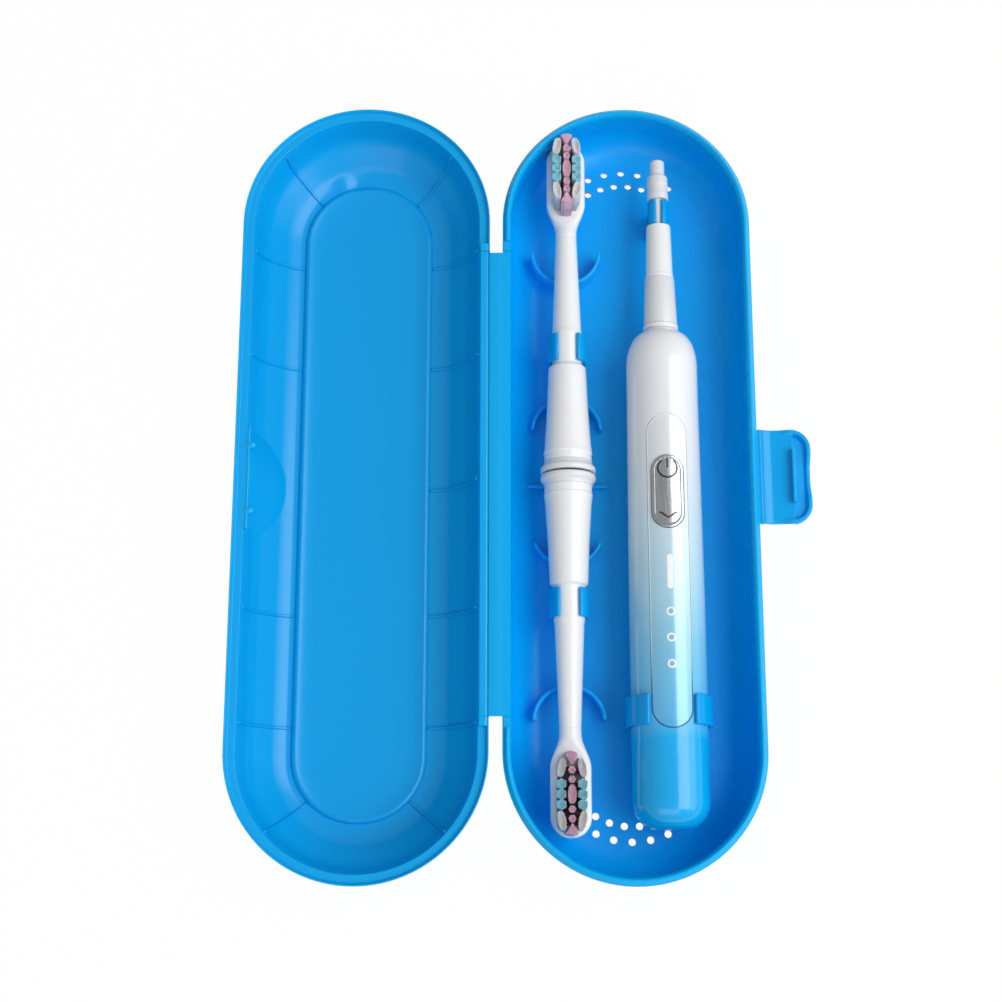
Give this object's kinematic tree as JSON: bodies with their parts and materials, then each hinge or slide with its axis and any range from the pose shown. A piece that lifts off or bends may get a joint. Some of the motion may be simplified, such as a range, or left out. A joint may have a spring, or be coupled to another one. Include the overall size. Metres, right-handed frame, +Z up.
{
  "type": "electric toothbrush travel case",
  "caption": "Long hinged travel case with a latch, open flat, holding an electric toothbrush handle with a push button and two spare brush heads in clips.",
  "frame": {"origin": "middle of the tray's flat underside", "axes": "+X from the hinge towards the latch, +Y along the case towards the handle's spigot, +Z up out of the open tray"},
  "size_m": [0.1582, 0.2194, 0.0241],
  "materials": {
    "tray_blue": "satin moulded blue plastic",
    "lid_blue": "satin moulded blue plastic",
    "strap_blue": "satin moulded blue plastic",
    "latch_blue": "satin moulded blue plastic",
    "clip_blue": "satin moulded blue plastic",
    "handle_gradient": "white at the neck, sky blue at the foot",
    "handle_blue": "gloss",
    "panel_gradient": "white to aqua, gloss",
    "white_plastic": "satin",
    "ring_plastic": "satin",
    "inner_plastic": "matte",
    "black_plastic": "matte",
    "seal_rubber": "matte",
    "button_metal": "brushed",
    "white_lens": "gloss",
    "board_green": "satin",
    "battery_metal": "satin",
    "motor_steel": "brushed",
    "coil_copper": "satin",
    "bristle_nylon": "nylon tufts in pink, aqua and white"
  },
  "bodies": {
    "tray": {"base_tray": "tray_blue", "saddles": "tray_blue", "handle_clip": "clip_blue", "shaft_clip": "clip_blue", "head_clip_upper": "clip_blue", "head_clip_lower": "clip_blue"},
    "strap": {"hinge_strap": "strap_blue"},
    "lid": {"lid_shell": "lid_blue"},
    "latch": {"latch": "latch_blue"},
    "handle": {"handle_shell": "handle_gradient", "handle_neck": "white_plastic", "neck_ring": "white_plastic", "nose_sleeve": "white_plastic", "shaft_seal": "seal_rubber", "control_panel": "panel_gradient", "button_gasket": "seal_rubber", "light_bar": "white_lens", "mode_lights": "white_lens", "circuit_board": "board_green", "press_switch": "black_plastic", "battery": "battery_metal", "motor": "motor_steel", "chassis": "inner_plastic", "charge_coil": "coil_copper", "end_cap": "handle_blue", "end_cap_seal": "seal_rubber"},
    "button": {"power_button": "button_metal"},
    "shaft": {"drive_shaft": "white_plastic"},
    "upper_head": {"head_upper_body": "white_plastic", "head_upper_ring": "ring_plastic", "head_upper_socket": "inner_plastic", "head_upper_bristles": "bristle_nylon"},
    "lower_head": {"head_lower_body": "white_plastic", "head_lower_ring": "ring_plastic", "head_lower_socket": "inner_plastic", "head_lower_bristles": "bristle_nylon"}
  },
  "joints": [
    {"name": "strap_fold", "type": "hinge", "parent": "tray", "child": "strap", "pos_m": [-0.03555, 0, 0.01705], "axis": [0, 1, 0], "range_deg": [0, 90]},
    {"name": "lid_fold", "type": "hinge", "parent": "strap", "child": "lid", "pos_m": [-0.03805, 0, 0.01705], "axis": [0, 1, 0], "range_deg": [0, 90]},
    {"name": "latch_turn", "type": "hinge", "parent": "tray", "child": "latch", "pos_m": [0.03575, 0, 0.0174], "axis": [0, -1, 0], "range_deg": [-20, 90], "stiffness_Nm_per_rad": 0.004},
    {"name": "handle_lift", "type": "slide", "parent": "tray", "child": "handle", "axis": [0, 0, -1], "range_m": [-0.045, 0], "deforming": ["handle_clip", "shaft_clip"]},
    {"name": "button_press", "type": "slide", "parent": "handle", "child": "button", "axis": [0, 0, -1], "range_m": [0, 0.0004], "stiffness_N_per_m": 1000},
    {"name": "shaft_swing", "type": "hinge", "parent": "handle", "child": "shaft", "pos_m": [0.0096, 0.06, 0.0134], "axis": [0, 1, 0], "range_deg": [-3, 3], "stiffness_Nm_per_rad": 0.0005},
    {"name": "upper_head_lift", "type": "slide", "parent": "tray", "child": "upper_head", "axis": [0, 0, -1], "range_m": [-0.035, 0], "deforming": ["head_clip_upper"]},
    {"name": "lower_head_lift", "type": "slide", "parent": "tray", "child": "lower_head", "axis": [0, 0, -1], "range_m": [-0.035, 0], "deforming": ["head_clip_lower"]}
  ]
}
